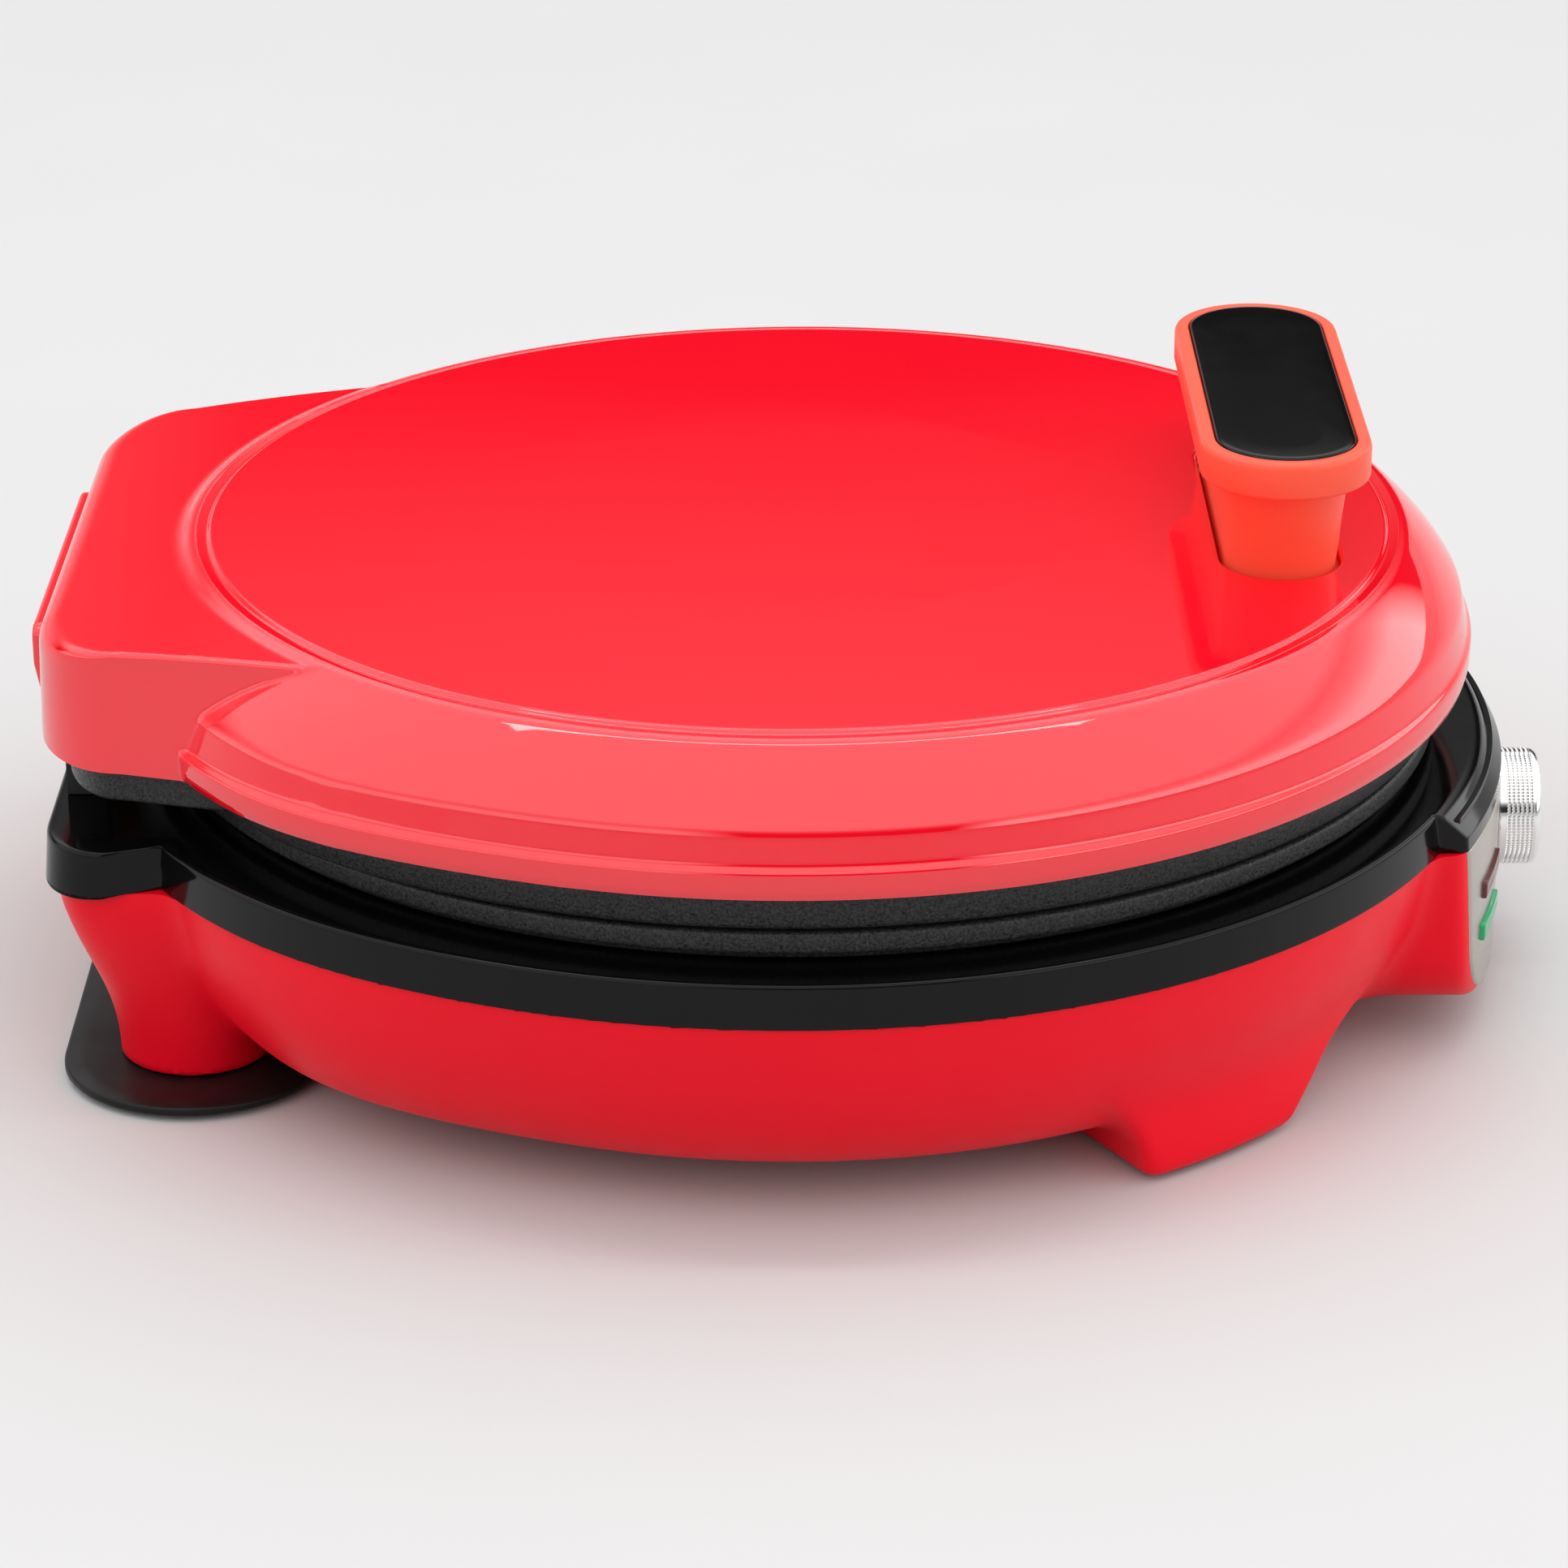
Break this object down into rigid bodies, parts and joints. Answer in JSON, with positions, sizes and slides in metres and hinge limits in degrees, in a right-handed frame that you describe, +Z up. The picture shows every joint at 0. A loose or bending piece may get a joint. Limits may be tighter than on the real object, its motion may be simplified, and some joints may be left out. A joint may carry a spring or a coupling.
{
  "type": "electric pizza maker",
  "caption": "Round countertop clamshell cooker with heated non-stick plates, hinged lid with a raised front handle, dial on the control panel and a cord wrap plate under the rear.",
  "frame": {"origin": "on the table under the middle of the part's bounding box", "axes": "+Z up, -Y towards the control panel and handle, +Y towards the hinge, +X to the right when facing the control panel"},
  "size_m": [0.336, 0.3674, 0.1515],
  "materials": {
    "lid_red": "high-gloss moulded red, clear reflections",
    "base_red": "satin moulded red",
    "grip_red": "satin heat-resistant orange-red grip",
    "gloss_black": "glossy black",
    "nonstick_black": "dark non-stick coating with a fine sparkle",
    "satin_silver": "satin warm silver paint",
    "knob_chrome": "bright chrome plating",
    "red_lens": "dark red translucent lens, unlit",
    "green_lens": "green translucent lens",
    "neon_glass": "clear glass neon lamp",
    "steel": "plain zinc-plated steel",
    "reflector_aluminium": "thin bright aluminium sheet",
    "black_plastic": "heat-resistant black moulding",
    "rubber": "soft black rubber",
    "ceramic": "off-white ceramic"
  },
  "bodies": {
    "base": {"base_shell": "base_red", "bezel": "gloss_black", "base_screw_1": "steel", "base_screw_2": "steel", "base_screw_3": "steel", "base_screw_4": "steel", "lower_cooking_plate": "nonstick_black", "lower_heating_element": "steel", "lower_heat_reflector": "reflector_aluminium", "lower_plate_screw_1": "steel", "lower_plate_screw_2": "steel", "lower_plate_screw_3": "steel", "lower_thermal_fuse": "ceramic", "control_panel": "satin_silver", "power_lens": "red_lens", "ready_lens": "green_lens", "power_lamp": "neon_glass", "ready_lamp": "neon_glass", "thermostat_body": "black_plastic", "thermostat_bracket": "steel", "cord_gland": "rubber", "terminal_block": "ceramic", "supply_wire": "rubber", "control_wire": "rubber", "cord_wrap_plate": "gloss_black", "cord_plate_screw_1": "steel", "cord_plate_screw_2": "steel", "front_foot_pad_left": "rubber", "front_foot_pad_right": "rubber", "rear_foot_pad_left": "rubber", "rear_foot_pad_right": "rubber", "hinge_bracket_left": "black_plastic", "hinge_bracket_right": "black_plastic", "hinge_pin_left": "steel", "hinge_pin_right": "steel"},
    "lid": {"lid_shell": "lid_red", "hinge_cap": "lid_red", "hinge_cap_screw_1": "steel", "hinge_cap_screw_2": "steel", "upper_cooking_plate": "nonstick_black", "upper_heating_element": "steel", "upper_heat_reflector": "reflector_aluminium", "upper_plate_screw_1": "steel", "upper_plate_screw_2": "steel", "upper_plate_screw_3": "steel", "upper_thermal_fuse": "ceramic", "lid_screw_1": "steel", "lid_screw_2": "steel", "handle_body": "grip_red", "handle_insert": "gloss_black", "handle_screw_1": "steel", "handle_screw_2": "steel", "hinge_arm_left": "steel", "hinge_arm_right": "steel"},
    "control_knob": {"knob": "knob_chrome", "knob_shaft": "steel"}
  },
  "joints": [
    {"name": "lid_hinge", "type": "hinge", "parent": "base", "child": "lid", "pos_m": [0, 0.17145, 0.0812], "axis": [-1, 0, 0], "range_deg": [0, 95]},
    {"name": "knob_turn", "type": "hinge", "parent": "base", "child": "control_knob", "pos_m": [0, -0.17655, 0.0387], "axis": [0, -1, 0], "range_deg": [0, 270]}
  ]
}
